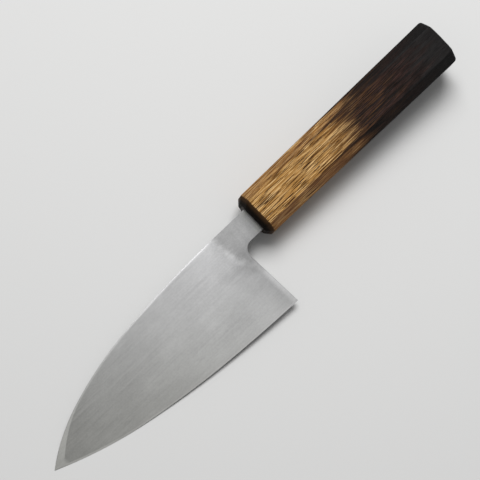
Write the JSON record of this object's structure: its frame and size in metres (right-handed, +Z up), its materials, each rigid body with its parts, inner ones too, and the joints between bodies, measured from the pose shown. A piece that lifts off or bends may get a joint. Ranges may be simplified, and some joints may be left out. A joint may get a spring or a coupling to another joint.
{
  "type": "deba knife",
  "caption": "Deba kitchen knife: a thick single-bevel blade with a hollow-ground back, its tang set in an eight-sided wooden handle.",
  "frame": {"origin": "middle of the box's underside, on the board that the knife lies on", "axes": "+X from the tip towards the handle's butt, -Y towards the cutting edge's side, +Z up, with the blade's hollow-ground back facing up"},
  "size_m": [0.2932, 0.0598, 0.032],
  "materials": {
    "soft_iron": "satin",
    "hard_steel": "satin",
    "charred_wood": "satin",
    "bedding_resin": "gloss",
    "seal_resin": "satin"
  },
  "bodies": {
    "root": {"soft_iron_body": "soft_iron", "hard_steel_layer": "hard_steel", "handle_body": "charred_wood", "tang_bedding": "bedding_resin", "mouth_seal": "seal_resin"}
  },
  "joints": []
}
